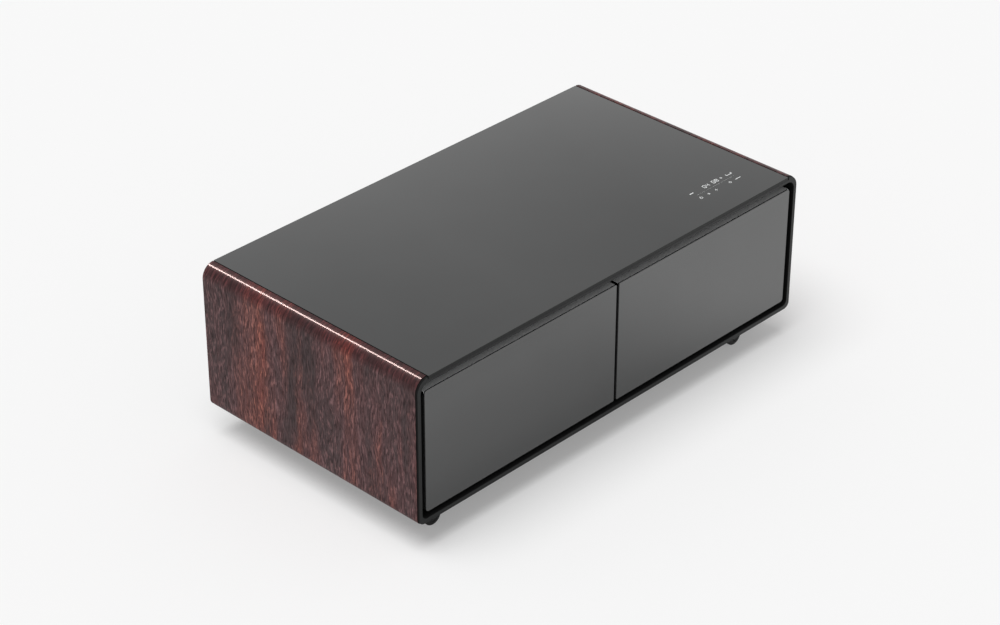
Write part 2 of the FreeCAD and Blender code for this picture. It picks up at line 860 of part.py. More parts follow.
def condenser():
    edges = []
    z = condenser_high_z
    x_from, x_to = tube_left_x, tube_right_x
    for run in range(condenser_passes):
        edges.append(Part.LineSegment(vec(x_from, condenser_y, z), vec(x_to, condenser_y, z)).toShape())
        if run < condenser_passes - 1:
            bulge = condenser_pitch / 2 if x_to > x_from else -condenser_pitch / 2
            bend_middle = vec(x_to + bulge, condenser_y, z - condenser_pitch / 2)
            bend_end = vec(x_to, condenser_y, z - condenser_pitch)
            edges.append(Part.Arc(vec(x_to, condenser_y, z), bend_middle, bend_end).toShape())
            z = z - condenser_pitch
            x_from, x_to = x_to, x_from
    inlet = vec(tube_left_x, condenser_y, condenser_high_z)
    ring = Part.Wire(Part.makeCircle(tube_radius, inlet, vec(1, 0, 0)))
    tube = Part.Wire(edges).makePipeShell([ring], True, True)
    first_x = fan_x - fin_spread / 2
    fin = block(first_x, first_x + fin_thickness, condenser_rear - condenser_depth, condenser_rear,
                base_top, base_top + fan_size)
    for run in range(condenser_passes):
        centre = vec(first_x, condenser_y, condenser_high_z - run * condenser_pitch)
        fin = fin.cut(rod(centre, centre + vec(fin_thickness, 0, 0), tube_radius + tube_seat_clearance))
    step = (fin_spread - fin_thickness) / (fin_count - 1)
    fins = [fin.translated(vec(step * index, 0, 0)) for index in range(fin_count)]
    return [tube] + fins


def fan_frame():
    half = fan_size / 2
    rear = fan_front + fan_depth
    frame = rounded_prism(fan_x - half, fan_x + half, fan_z - half, fan_z + half, (fan_corner_radius,) * 4,
                          fan_front, rear)
    centre = vec(fan_x, fan_front, fan_z)
    frame = frame.cut(rod(centre, centre + vec(0, fan_depth, 0), fan_bore_radius))
    strut_half = fan_strut_width / 2
    strut_rear = fan_front + fan_strut_depth
    level = block(fan_x - fan_bore_radius, fan_x + fan_bore_radius, fan_front, strut_rear,
                  fan_z - strut_half, fan_z + strut_half)
    upright = block(fan_x - strut_half, fan_x + strut_half, fan_front, strut_rear,
                    fan_z - fan_bore_radius, fan_z + fan_bore_radius)
    hub = rod(centre, centre + vec(0, fan_strut_depth, 0), fan_hub_radius)
    shaft = rod(centre, centre + vec(0, fan_depth - fan_end_gap, 0), fan_shaft_radius)
    return frame.fuse([level, upright, hub, shaft]).removeSplitter()


def fan_rotor():
    y0 = fan_front + fan_strut_depth + fan_end_gap
    y1 = fan_front + fan_depth - fan_end_gap
    middle = vec(fan_x, (y0 + y1) / 2, fan_z)
    hub = rod(vec(fan_x, y0, fan_z), vec(fan_x, y1, fan_z), fan_hub_radius)
    tip = fan_bore_radius - fan_tip_gap
    room = (y1 - y0 - fan_blade_thickness) / math.sin(math.radians(fan_blade_pitch))
    half_chord = min(fan_blade_chord, room) / 2
    blades = []
    for index in range(fan_blade_count):
        blade = block(fan_x - half_chord, fan_x + half_chord, middle.y - fan_blade_thickness / 2,
                      middle.y + fan_blade_thickness / 2, fan_z + fan_hub_radius / 2, fan_z + fan_bore_radius)
        blade.rotate(middle, vec(0, 0, 1), fan_blade_pitch)
        blade.rotate(middle, vec(0, 1, 0), 360.0 / fan_blade_count * index)
        blades.append(blade)
    rotor = hub.fuse(blades).removeSplitter()
    sweep = rod(vec(fan_x, y0, fan_z), vec(fan_x, y1, fan_z), tip)
    bore = rod(vec(fan_x, y0, fan_z), vec(fan_x, y1, fan_z), fan_shaft_radius + fan_shaft_clearance)
    return rotor.common(sweep).cut(bore)


def drip_tray():
    # It sits on the compressor, whose warmth dries it
    y0 = machine_middle - tray_width / 2
    y1 = machine_middle + tray_width / 2
    x0 = compressor_x - tray_length / 2
    x1 = compressor_x + tray_length / 2
    z0 = compressor_base + compressor_height
    outer = block(x0, x1, y0, y1, z0, z0 + tray_height)
    inner = block(x0 + tray_wall, x1 - tray_wall, y0 + tray_wall, y1 - tray_wall,
                  z0 + tray_wall, z0 + tray_height)
    return outer.cut(inner)


# Electrics

def control_board():
    x0 = board_x - board_length / 2
    x1 = board_x + board_length / 2
    z1 = deck_under - board_drop
    z0 = z1 - board_height
    y0 = machine_front + board_standoff
    y1 = y0 + board_thickness
    pieces = [block(x0, x1, y0, y1, z0, z1)]
    for x in (x0 + board_standoff_inset, x1 - board_standoff_inset):
        for z in (z0 + board_standoff_inset, z1 - board_standoff_inset):
            pieces.append(rod(vec(x, machine_front, z), vec(x, y0, z), board_standoff_radius))
    spacing = board_length / (relay_count + 1)
    middle_z = (z0 + z1) / 2
    for index in range(relay_count):
        x = x0 + spacing * (index + 1)
        pieces.append(block(x - relay_size / 2, x + relay_size / 2, y1, y1 + relay_depth,
                            middle_z - relay_size / 2, middle_z + relay_size / 2))
    return pieces


def power_supply():
    cage = block(supply_x - supply_length / 2, supply_x + supply_length / 2,
                 back_front - supply_width, back_front, base_top, base_top + supply_height)
    return cage.makeFillet(supply_round, edges_on_plane(cage, "z", base_top + supply_height))


def inlet_prism(length, height, radius, y0, y1):
    z = base_top + inlet_rise
    return rounded_prism(inlet_x - length / 2, inlet_x + length / 2, z - height / 2, z + height / 2,
                         (radius,) * 4, y0, y1)


def power_inlet():
    flange_rear = back_rear + inlet_flange_thickness
    flange = inlet_prism(inlet_flange_length, inlet_flange_height, inlet_round, back_rear, flange_rear)
    body = inlet_prism(inlet_body_length - back_edge_gap, inlet_body_height - back_edge_gap, inlet_round,
                       flange_rear - inlet_body_depth, back_rear)
    socket = inlet_prism(inlet_socket_length, inlet_socket_height, inlet_round,
                         flange_rear - inlet_socket_depth, flange_rear)
    return flange.fuse(body).cut(socket).removeSplitter()


def inlet_pins():
    root = back_rear + inlet_flange_thickness - inlet_socket_depth
    z = base_top + inlet_rise
    pins = []
    for offset, raise_z in ((-pin_spread, -pin_raise), (0.0, pin_raise), (pin_spread, -pin_raise)):
        pins.append(block(inlet_x + offset - pin_width / 2, inlet_x + offset + pin_width / 2, root,
                          root + pin_length, z + raise_z - pin_height / 2, z + raise_z + pin_height / 2))
    return pins


def touch_board():
    low = glass_under - touch_board_thickness
    board = block(touch_x - touch_length / 2, touch_x + touch_length / 2, touch_y - touch_width / 2,
                  touch_y + touch_width / 2, low, glass_under)
    display = block(touch_x - display_length / 2, touch_x + display_length / 2, touch_y - display_width / 2,
                    touch_y + display_width / 2, low - display_height, low)
    return [board, display]


def charger_coil():
    low = vec(charger_x, charger_y, glass_under - charger_height)
    high = vec(charger_x, charger_y, glass_under)
    return rod(low, high, charger_radius).cut(rod(low, high, charger_bore_radius))


def build():
    os.makedirs("parts", exist_ok=True)
    save("glass_top", glass_top())
    save("top_deck", top_deck())
    right_panel = side_panel()
    save("side_panel_right", right_panel)
    save("side_panel_left", mirrored(right_panel))
    save("front_bezel", front_bezel())
    save("face_frame", face_frame())
    save("base_plate", base_plate())
    save("back_panel", back_panel())
    save("back_panel_screws", *back_panel_screws())
    right_slab = insulation_side_slab()
    save("insulation_right", right_slab)
    save("insulation_left", mirrored(right_slab))
    save("insulation_divider", insulation_divider())
    save("insulation_top", insulation_top())
    save("insulation_bottom", insulation_bottom())
    save("insulation_rear", insulation_rear())
    right_liner = liner()
    save("liner_right", right_liner)
    save("liner_left", mirrored(right_liner))
    save("evaporator_plate", evaporator_plate())
    save("compressor", compressor())
    save("compressor_grommets", *compressor_grommets())
    save("condenser", *condenser())
    save("filter_drier", filter_drier())
    save("refrigerant_pipes", *refrigerant_pipes())
    save("fan_frame", fan_frame())
    save("fan_rotor", fan_rotor())
    save("drip_tray", drip_tray())
    save("control_board", *control_board())
    save("power_supply", power_supply())
    save("power_inlet", power_inlet())
    save("inlet_pins", *inlet_pins())
    save("touch_board", *touch_board())
    save("charger_coil", charger_coil())
    drawer_pieces = {
        "drawer_glass": drawer_glass(),
        "drawer_shell": drawer_shell(),
        "drawer_core": drawer_core(),
        "drawer_pull": drawer_pull(),
        "drawer_gasket": drawer_gasket(),
        "drawer_tub": drawer_tub(),
    }
    for name, piece in drawer_pieces.items():
        save(name + "_right", piece)
        save(name + "_left", mirrored(piece))
    outer_rails = slide_rails("outer")
    save("slide_outer_rails", *outer_rails, *[mirrored(rail) for rail in outer_rails])
    for kind in ("middle", "inner"):
        rails = slide_rails(kind)
        save("slide_" + kind + "_rails_right", *rails)
        save("slide_" + kind + "_rails_left", *[mirrored(rail) for rail in rails])
    save("caster_plates", *[caster_plate(x, y) for x, y in caster_places().values()])
    save("caster_screws", *caster_screws())
    for place, (x, y) in caster_places().items():
        save("caster_fork_" + place, caster_fork(x, y), caster_axle(x, y))
        save("caster_wheel_" + place, caster_wheel(x, y))


build()
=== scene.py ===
import json
import math

import bmesh
import bpy
from mathutils import Matrix, Vector


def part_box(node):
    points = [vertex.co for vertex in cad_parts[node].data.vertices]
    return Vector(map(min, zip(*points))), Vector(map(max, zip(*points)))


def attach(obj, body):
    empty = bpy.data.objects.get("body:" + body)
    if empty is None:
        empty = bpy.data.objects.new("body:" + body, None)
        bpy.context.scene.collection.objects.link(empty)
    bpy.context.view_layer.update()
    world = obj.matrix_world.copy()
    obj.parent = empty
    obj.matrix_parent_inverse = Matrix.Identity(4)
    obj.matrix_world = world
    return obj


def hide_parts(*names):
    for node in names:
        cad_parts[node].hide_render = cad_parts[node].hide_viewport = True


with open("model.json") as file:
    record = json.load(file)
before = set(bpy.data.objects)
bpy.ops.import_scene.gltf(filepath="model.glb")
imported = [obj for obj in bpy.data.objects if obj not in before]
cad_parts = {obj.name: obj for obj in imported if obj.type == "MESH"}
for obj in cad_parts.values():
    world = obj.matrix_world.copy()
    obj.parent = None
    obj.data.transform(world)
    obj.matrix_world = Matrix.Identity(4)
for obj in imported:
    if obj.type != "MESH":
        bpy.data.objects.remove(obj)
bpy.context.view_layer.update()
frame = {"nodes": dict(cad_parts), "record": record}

# A refrigerator coffee table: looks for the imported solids, in metres, in the same frame.
MM = 0.001
nodes = frame["nodes"]
SIDES = ("left", "right")
CASTERS = ("front_left", "front_right", "rear_left", "rear_right")

# Camera, as fitted to the table's edges
CAMERA_PLACE = Vector((-4.0562, -3.8758, 3.6657))
CAMERA_AZIMUTH = math.radians(-46.103)
CAMERA_ELEVATION = math.radians(31.731)
CAMERA_ROLL = math.radians(0.11)
CAMERA_LENS = 98.47
CAMERA_SENSOR = 36.0

# Light: the room lights less than it shows, and what gloss mirrors of it dims towards the right
WORLD_LEVEL = 0.36
ROOM_SIDE = (0.58, 0.70)
ROOM_LEVEL = (1.02, 0.84)
SUN_STRENGTH = 2.2
SUN_ANGLE = math.radians(45.0)
SUN_FROM = Vector((-0.3, 0.0, 1.0))
STRIP_FROM = Vector((-0.152, 0.590, 0.787))
STRIP_DISTANCE = 6.0
STRIP_WIDTH = 0.75
STRIP_LENGTH = 1.8
STRIP_POWER = 400.0
STRIP_TINT = "#FFE2DC"

# Floor, and painted shade in its mirror image, for the table's shadow seen in the glass: edge along X,
# fade along Y and how much it takes
FLOOR_SIZE = 40.0
FLOOR_WHITE = "#F6F6F6"
FLOOR_FILL = 0.285
MIRROR_SHADE_EDGE = (0.15, 0.75)
MIRROR_SHADE_DEPTH = (-0.48, -0.75)
MIRROR_SHADE_DARKENS = (0.51, 0.26)

# Glass top and the marks printed in its last hair of height, in two rows
GLASS_BEVEL = 1.0 * MM
GLASS_BEVEL_STEPS = 3
MARK_THICKNESS = 0.05 * MM
MARK_STEPS = 32
HAIRLINE = 0.25 * MM
MARK_LINE = 1.2 * MM
DIGIT_LINE = 1.9 * MM
BROAD_LINE = 2.0 * MM
MENU_LINE = 2.6 * MM
DISPLAY_ROW = -235.0 * MM
BUTTON_ROW = -265.0 * MM
FIGURES = "0408"
SEVEN_BARS = {"0": "abcdef", "4": "bcfg", "8": "abcdefg"}
FIGURES_START = 436.5 * MM
FIGURES_GAP = 10.0 * MM
DIGIT_WIDTH = 7.0 * MM
DIGIT_HEIGHT = 11.0 * MM
DIGIT_PITCH = 11.5 * MM
MENU_X = 389.0 * MM
MENU_LENGTH = 13.0 * MM
DEGREE_X = 498.0 * MM
DEGREE_RADIUS = 2.4 * MM
LOCK_X = 526.0 * MM
LOCK_WIDTH = 18.0 * MM
LOCK_DEPTH = 6.0 * MM
RULE_X = 460.0 * MM
RULE_LENGTH = 136.0 * MM
POWER_X = 390.5 * MM
POWER_RADIUS = 3.6 * MM
POWER_STEM = 5.0 * MM
FROST_X = 418.0 * MM
PLUS_X = 445.5 * MM
SIGN_LENGTH = 7.5 * MM
LAMP_X = 497.5 * MM
LAMP_RADIUS = 3.0 * MM
MINUS_X = 526.5 * MM
MINUS_LENGTH = 19.0 * MM

# Drawer seals, raised in steps: a sideways move, a share of the depth, and whether the move goes outwards
GASKET_WIDTH = 13.5 * MM
NECK_INSET = 3.0 * MM
TUBE_OUTSET = 1.5 * MM
SEAL_STEPS = (
    (0.0, 0.25, False),
    (NECK_INSET, 0.05, False),
    (0.0, 0.25, False),
    (TUBE_OUTSET, 0.05, True),
    (0.0, 0.4, False),
)

# Drawer liners
LINER_BORDER = 18.0 * MM
LINER_STEP = 1.5 * MM
LINER_ROUND = 0.5 * MM
LINER_ROUND_STEPS = 2

# Screws and caster wheels
SCREW_SEGMENTS = 24
HEAD_RADIUS = 4.5 * MM
HEAD_HEIGHT = 2.5 * MM
HEAD_CROWN = 0.9 * MM
SHANK_RADIUS = 2.4 * MM
SHANK_LENGTH = 9.0 * MM
RECESS_LENGTH = 5.0 * MM
RECESS_DEPTH = 1.4 * MM
WHEEL_STEPS = 48
TYRE_INNER = 15.0 * MM
TYRE_ROUND = 3.0 * MM
TYRE_ROUND_STEPS = 4
TREAD_MARGIN = 0.5 * MM
TREAD_DEPTH = 0.5 * MM
HUB_BORE = 3.1 * MM
HUB_BOSS = 6.0 * MM
HUB_WEB_WIDTH = 8.0 * MM
HUB_RIM = 12.5 * MM
HUB_SIDE = 1.5 * MM
HUB_LAP = 0.5 * MM

# Shaping: the least fold that is rounded, the fold up to which shading is smooth, how squarely a face
# must look a way to count, and how close two points are one
QUARTER_TURN = math.pi / 2
SHARP_FOLD = math.radians(30.0)
SMOOTH_BELOW = math.radians(35.0)
FACING = 0.5
WELD = 0.01 * MM

# How far a gloss swings about its middle, and how a rolled or drawn grain is stretched along one way
GLOSS_SPREAD = 0.06
ALONG_X = (0.04, 1.0, 1.0)
ALONG_Y = (1.0, 0.04, 1.0)

# Where a noise counts as dark and as pale, the pitch of haze on glass, and the relief of a fine grit
DARK_AT = 0.3
PALE_AT = 0.7
HAZE_PITCH = 120 * MM
RELIEF = {"Strength": 0.05, "Distance": 0.1 * MM}

# Rosewood grain: the pitch and reach of its sway, then its layers. Each has its marks in a metre through,
# across and along the board, a shift that sets where they fall, and how finely and roughly they break up.
SWAY_PITCH = 120 * MM
SWAY_REACH = 34 * MM
UNMOVED = (0.0, 0.0, 0.0)
GRAIN = {
    "band": ((2.0, 1 / (70 * MM), 1 / (640 * MM)), UNMOVED, 4.0, 0.6),
    "lane": ((2.0, 1 / (95 * MM), 1 / (560 * MM)), (3.0, 10.46, 5.0), 2.0, 0.5),
    "fibre": ((14.0, 1 / (3.8 * MM), 1 / (27 * MM)), UNMOVED, 4.0, 0.65),
    "fleck": ((30.0, 1 / (3.6 * MM), 1 / (18 * MM)), (1.0, 9.0, 2.0), 2.0, 0.5),
}

# Sockets of a node that mixes colours: its two colours and its result
COLOUR_A = 6
COLOUR_B = 7
MIXED = 2


def linear(hex_colour):
    channels = [int(hex_colour[at:at + 2], 16) / 255 for at in (1, 3, 5)]
    curved = [c / 12.92 if c <= 0.04045 else ((c + 0.055) / 1.055) ** 2.4 for c in channels]
    return (*curved, 1.0)


def add(tree, kind, inputs=None, stops=None, **settings):
    # Adds one node: sockets take a value or another node's output, and a ramp takes its stops
    node = tree.nodes.new("ShaderNode" + kind)
    for name, value in settings.items():
        setattr(node, name, value)
    for socket, value in (inputs or {}).items():
        if isinstance(value, bpy.types.NodeSocket):
            tree.links.new(value, node.inputs[socket])
        else:
            node.inputs[socket].default_value = value
    for index, (place, colour) in enumerate(stops or ()):
        elements = node.color_ramp.elements
        stop = elements[index] if index < 2 else elements.new(place)
        stop.position = place
        stop.color = colour
    return node


def start_material(name):
    material = bpy.data.materials.new(name)
    material.use_nodes = True
    tree = material.node_tree
    return material, tree, tree.nodes["Principled BSDF"]


def back_painted_glass(name, dark, pale, index):
    # Float glass painted behind: a sharp, even reflection over a deep, nearly even tone
    material, tree, surface = start_material(name)
    place = add(tree, "TexCoord").outputs["Object"]
    haze = add(tree, "TexNoise", {"Vector": place, "Scale": 1 / HAZE_PITCH, "Detail": 4.0})
    tone = add(tree, "ValToRGB", {"Fac": haze.outputs["Fac"]},
               stops=[(DARK_AT, linear(dark)), (PALE_AT, linear(pale))])
    wipe = add(tree, "MapRange", {"Value": haze.outputs["Fac"], "To Min": 0.02, "To Max": 0.05})
    tree.links.new(tone.outputs["Color"], surface.inputs["Base Color"])
    tree.links.new(wipe.outputs["Result"], surface.inputs["Roughness"])
    surface.inputs["IOR"].default_value = index
    return material


def lacquered_rosewood():
    # Rosewood veneer under lacquer: short upright wavy fibres, pale flecks that turn orange in the red
    # bands, smooth grey-black lanes and a wet highlight. Faces that turn up, the round-over most, are
    # darkened and reddened as painted shade, for the dimmer reflection they get. The front end of the
    # board is painted black, which is also painted shade for the seam between the board and the bezel.
    material, tree, surface = start_material("lacquered_rosewood")
    place = add(tree, "TexCoord").outputs["Object"]
    sway = add(tree, "TexNoise", {"Vector": place, "Scale": 1 / SWAY_PITCH, "Detail": 2.0})
    swing = add(tree, "VectorMath", {0: sway.outputs["Color"], 1: (0.0, SWAY_REACH, 0.0)},
                operation="MULTIPLY")
    swayed = add(tree, "VectorMath", {0: place, 1: swing.outputs["Vector"]}, operation="ADD")
    layers = {}
    for layer, (marks, shift, detail, roughness) in GRAIN.items():
        spread = add(tree, "Mapping", {"Vector": swayed.outputs["Vector"], "Location": shift,
                                       "Scale": marks})
        noise = add(tree, "TexNoise", {"Vector": spread.outputs["Vector"], "Scale": 1.0, "Detail": detail,
                                       "Roughness": roughness})
        layers[layer] = noise.outputs["Fac"]
    tone = add(tree, "ValToRGB", {"Fac": layers["band"]},
               stops=[(0.36, linear("#584748")), (0.68, linear("#844E48")), (0.48, linear("#65494A")),
                      (0.58, linear("#744D4A"))])
    smooth = add(tree, "MapRange", {"Value": layers["lane"], "From Min": 0.49, "From Max": 0.60,
                                    "To Max": 0.85})
    laned = add(tree, "Mix", {"Factor": smooth.outputs["Result"], COLOUR_A: tone.outputs["Color"],
                              COLOUR_B: linear("#4D4142")}, data_type="RGBA")
    streak = add(tree, "ValToRGB", {"Fac": layers["fibre"]},
                 stops=[(0.36, linear("#948A8B")), (0.60, linear("#FFFFFF"))])
    fibred = add(tree, "Mix", {"Factor": 1.0, COLOUR_A: laned.outputs[MIXED],
                               COLOUR_B: streak.outputs["Color"]},
                 data_type="RGBA", blend_type="MULTIPLY")
    fleck_tone = add(tree, "ValToRGB", {"Fac": layers["band"]},
                     stops=[(0.46, linear("#8E696A")), (0.64, linear("#C27A69"))])
    left_bare = add(tree, "MapRange", {"Value": smooth.outputs["Result"], "To Min": 0.8, "To Max": 0.1})
    pale = add(tree, "MapRange", {"Value": layers["fleck"], "From Min": 0.52, "From Max": 0.72,
                                  "To Max": left_bare.outputs["Result"]})
    flecked = add(tree, "Mix", {"Factor": pale.outputs["Result"], COLOUR_A: fibred.outputs[MIXED],
                                COLOUR_B: fleck_tone.outputs["Color"]}, data_type="RGBA")
    facing = add(tree, "SeparateXYZ", {"Vector": add(tree, "NewGeometry").outputs["Normal"]})
    # Painted shade: up-facing faces are multiplied darker and redder
    over = add(tree, "MapRange", {"Value": facing.outputs["Z"], "From Min": 0.05, "From Max": 0.5})
    round_over_shaded = add(tree, "Mix", {"Factor": over.outputs["Result"], COLOUR_A: flecked.outputs[MIXED],
                                COLOUR_B: linear("#C39B9E")},
                  data_type="RGBA", blend_type="MULTIPLY")
    # Front-facing ends go black: a painted edge, and painted shade for the seam at the bezel
    ahead = add(tree, "MapRange", {"Value": facing.outputs["Y"], "From Min": -0.5, "From Max": -0.95})
    black_end_and_seam_shade = add(tree, "Mix", {"Factor": ahead.outputs["Result"], COLOUR_A: round_over_shaded.outputs[MIXED],
                              COLOUR_B: linear("#0B0B0B")}, data_type="RGBA")
    tree.links.new(black_end_and_seam_shade.outputs[MIXED], surface.inputs["Base Color"])
    gloss = add(tree, "MapRange", {"Value": layers["fibre"], "To Min": 0.46, "To Max": 0.30})
    tree.links.new(gloss.outputs["Result"], surface.inputs["Roughness"])
    surface.inputs["Specular IOR Level"].default_value = 0.05
    surface.inputs["Coat Weight"].default_value = 0.2
    surface.inputs["Coat Roughness"].default_value = 0.05
    return material


def anodised_bezel():
    # Black anodised aluminium: a satin dark grey face. Side and sleeve walls, which don't face the front,
    # are painted near-black as painted shade for the deep gaps around the drawers.
    material, tree, surface = start_material("anodised_black_aluminium")
    place = add(tree, "TexCoord").outputs["Object"]
    grit = add(tree, "TexNoise", {"Vector": place, "Scale": 1 / (0.6 * MM), "Detail": 2.0})
    face = add(tree, "ValToRGB", {"Fac": grit.outputs["Fac"]},
               stops=[(DARK_AT, linear("#1D1E1E")), (PALE_AT, linear("#272828"))])
    facing = add(tree, "SeparateXYZ", {"Vector": add(tree, "NewGeometry").outputs["Normal"]})
    # Painted shade: walls turned away from the front go near-black and duller
    turned = add(tree, "MapRange", {"Value": facing.outputs["Y"], "From Min": -0.95, "From Max": -0.6})
    tone = add(tree, "Mix", {"Factor": turned.outputs["Result"], COLOUR_A: face.outputs["Color"],
                             COLOUR_B: linear("#050505")}, data_type="RGBA")
    dulled = add(tree, "MapRange", {"Value": turned.outputs["Result"], "To Min": 0.42, "To Max": 0.75})
    relief = add(tree, "Bump", {"Height": grit.outputs["Fac"], **RELIEF})
    tree.links.new(tone.outputs[MIXED], surface.inputs["Base Color"])
    tree.links.new(dulled.outputs["Result"], surface.inputs["Roughness"])
    tree.links.new(relief.outputs["Normal"], surface.inputs["Normal"])
    surface.inputs["Specular IOR Level"].default_value = 0.25
    return material


def etched_pull():
    # Aluminium etched matt and clear anodised: a soft, even skin with faint draw lines. Its tone is set
    # near white, paler than the metal, as painted light against the shade of the slot it sits in. Its
    # black ends are end caps, and also painted shade for the gap between the two pulls.
    material, tree, surface = start_material("etched_anodised_aluminium")
    place = add(tree, "TexCoord").outputs["Object"]
    drawn = add(tree, "Mapping", {"Vector": place, "Scale": ALONG_X})
    lines = add(tree, "TexNoise", {"Vector": drawn.outputs["Vector"], "Scale": 1 / (0.8 * MM),
                                   "Detail": 3.0})
    # Painted light: a near-white tone lifts the pull in the slot's shade
    slot_lit_metal = add(tree, "ValToRGB", {"Fac": lines.outputs["Fac"]},
                stops=[(DARK_AT, linear("#F2F4F4")), (PALE_AT, linear("#FAFBFB"))])
    facing = add(tree, "SeparateXYZ", {"Vector": add(tree, "NewGeometry").outputs["Normal"]})
    # Black ends: end caps, and painted shade for the gap between the pulls
    end = add(tree, "Math", {0: facing.outputs["X"]}, operation="ABSOLUTE")
    end_cap_and_gap_shade = add(tree, "MapRange", {"Value": end.outputs["Value"], "From Min": 0.5, "From Max": 0.9})
    tone = add(tree, "Mix", {"Factor": end_cap_and_gap_shade.outputs["Result"], COLOUR_A: slot_lit_metal.outputs["Color"],
                             COLOUR_B: linear("#060606")}, data_type="RGBA")
    gloss = add(tree, "MapRange", {"Value": lines.outputs["Fac"], "To Min": 0.35, "To Max": 0.47})
    tree.links.new(tone.outputs[MIXED], surface.inputs["Base Color"])
    tree.links.new(gloss.outputs["Result"], surface.inputs["Roughness"])
    surface.inputs["Specular IOR Level"].default_value = 0.3
    return material


def skin(name, dark, pale, roughness, grit_mm, stretch=(1.0, 1.0, 1.0), metallic=0.0, specular=0.5):
    # One material's skin: two close tones and a gloss broken by grit of a real size, drawn out along
    # the way that the piece was rolled or drawn
    material, tree, surface = start_material(name)
    place = add(tree, "TexCoord").outputs["Object"]
    drawn = add(tree, "Mapping", {"Vector": place, "Scale": stretch})
    grit = add(tree, "TexNoise", {"Vector": drawn.outputs["Vector"], "Scale": 1 / (grit_mm * MM),
                                  "Detail": 3.0})
    tone = add(tree, "ValToRGB", {"Fac": grit.outputs["Fac"]},
               stops=[(DARK_AT, linear(dark)), (PALE_AT, linear(pale))])
    gloss = add(tree, "MapRange", {"Value": grit.outputs["Fac"], "To Min": roughness - GLOSS_SPREAD,
                                   "To Max": roughness + GLOSS_SPREAD})
    relief = add(tree, "Bump", {"Height": grit.outputs["Fac"], **RELIEF})
    tree.links.new(tone.outputs["Color"], surface.inputs["Base Color"])
    tree.links.new(gloss.outputs["Result"], surface.inputs["Roughness"])
    tree.links.new(relief.outputs["Normal"], surface.inputs["Normal"])
    surface.inputs["Metallic"].default_value = metallic
    surface.inputs["Specular IOR Level"].default_value = specular
    return material


FINISHES = {
    # Float glass, painted behind: a clear, even mirror over near-black
    "black_glass": back_painted_glass("back_painted_glass", "#232424", "#262727", 1.6),
    "rosewood": lacquered_rosewood(),
    # Fibreboard under a dark sealer: dull, with the board's felted fleck
    "fibreboard": skin("sealed_fibreboard", "#35322F", "#423E3A", 0.75, 1.2),
    "black_aluminium": anodised_bezel(),
    "grey_aluminium": etched_pull(),
    # ABS from a spark-eroded mould: black with a fine, dull grain
    "black_plastic": skin("moulded_black_abs", "#1B1C1C", "#242525", 0.5, 0.8),
    # Vacuum-formed polystyrene: smooth, bright and faintly wavy
    "white_plastic": skin("formed_white_polystyrene", "#E4E7E8", "#EDF0F0", 0.3, 3.0),
    # Blown foam: pale yellow, with open cells
    "foam": skin("polyurethane_foam", "#D9CBA0", "#E8DDB8", 0.9, 1.5),
    # Extruded soft vinyl: mid grey with a soft sheen
    "seal_rubber": skin("gasket_vinyl", "#6C6E70", "#7A7C7E", 0.55, 1.0),
    # Zinc on rolled steel: bright and a little cloudy along the rail
    "zinc_steel": skin("zinc_plated_steel", "#B4B7BA", "#C8CBCE", 0.32, 1.5, ALONG_Y, 1.0),
    # Powder coat: black, with a fine orange peel
    "black_steel": skin("powder_coated_steel", "#1E1F1F", "#2A2B2B", 0.45, 0.7),
    # Moulded rubber: black and dull
    "tread_rubber": skin("caster_rubber", "#161616", "#1F1F1F", 0.65, 1.0),
    # Rolled aluminium as it leaves the mill: pale, with faint rolling lines
    "bare_aluminium": skin("mill_aluminium", "#C4C6C8", "#D4D6D8", 0.35, 2.0, ALONG_X, 1.0),
    # Drawn copper tube: warm and bright, with drawing lines
    "copper": skin("drawn_copper", "#B5714F", "#C98463", 0.3, 2.0, ALONG_X, 1.0),
    # Glass-fibre laminate under solder mask: green with the weave just showing
    "circuit_board": skin("green_circuit_board", "#1D5A38", "#246B43", 0.4, 1.0),
    # Plated brass: pale gold and bright
    "brass_pins": skin("plated_brass", "#C9BE93", "#D8CEA8", 0.25, 1.0, ALONG_Y, 1.0),
}
# Half-silvered glass, painted behind: a stronger mirror over a greyer tone than the top
DRAWER_GLASS = back_painted_glass("mirror_coated_glass", "#333434", "#373838", 1.95)
# Ground and inked glass edge: dull black
GLASS_EDGE = skin("ground_glass_edge", "#101111", "#181919", 0.45, 0.5, specular=0.3)
# Screen print in ceramic enamel: white and slightly chalky
PRINT = skin("white_enamel_print", "#E8EAEA", "#F2F4F4", 0.5, 0.4)
# Nylon from the mould: dark grey with a soft sheen
HUB = skin("moulded_grey_nylon", "#3A3B3C", "#454647", 0.45, 0.8)

for part in frame["record"]["subparts"]:
    mesh = nodes[part["node"]].data
    mesh.materials.clear()
    mesh.materials.append(FINISHES[part["material_slot"]])
for side in SIDES:
    nodes["drawer_glass_" + side].data.materials[0] = DRAWER_GLASS


def piece(name, shape, body, slot, finishes, *replaced):
    # Makes a bmesh an object that rides on a body and stands for the CAD nodes named last
    mesh = bpy.data.meshes.new(name)
    shape.to_mesh(mesh)
    shape.free()
    for finish in finishes:
        mesh.materials.append(finish)
    mesh.polygons.foreach_set("use_smooth", [True] * len(mesh.polygons))
    mesh.set_sharp_from_angle(angle=SMOOTH_BELOW)
    made = bpy.data.objects.new(name, mesh)
    bpy.context.scene.collection.objects.link(made)
    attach(made, body)
    if replaced:
        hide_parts(*replaced)


def block(shape, low, high):
    # A box between two corners
    middle = (Vector(low) + Vector(high)) / 2
    size = Vector(high) - Vector(low)
    placed = Matrix.Translation(middle) @ Matrix.Diagonal((*size, 1.0))
    bmesh.ops.create_cube(shape, size=1.0, matrix=placed)


def soften(shape, edges, radius, steps):
    # Rounds edges to a radius, in steps
    bmesh.ops.bevel(shape, geom=edges, offset=radius, affect="EDGES", segments=steps, profile=0.5,
                    material=-1)


# Glass top, with its printed touch marks lying in the last hair of its height

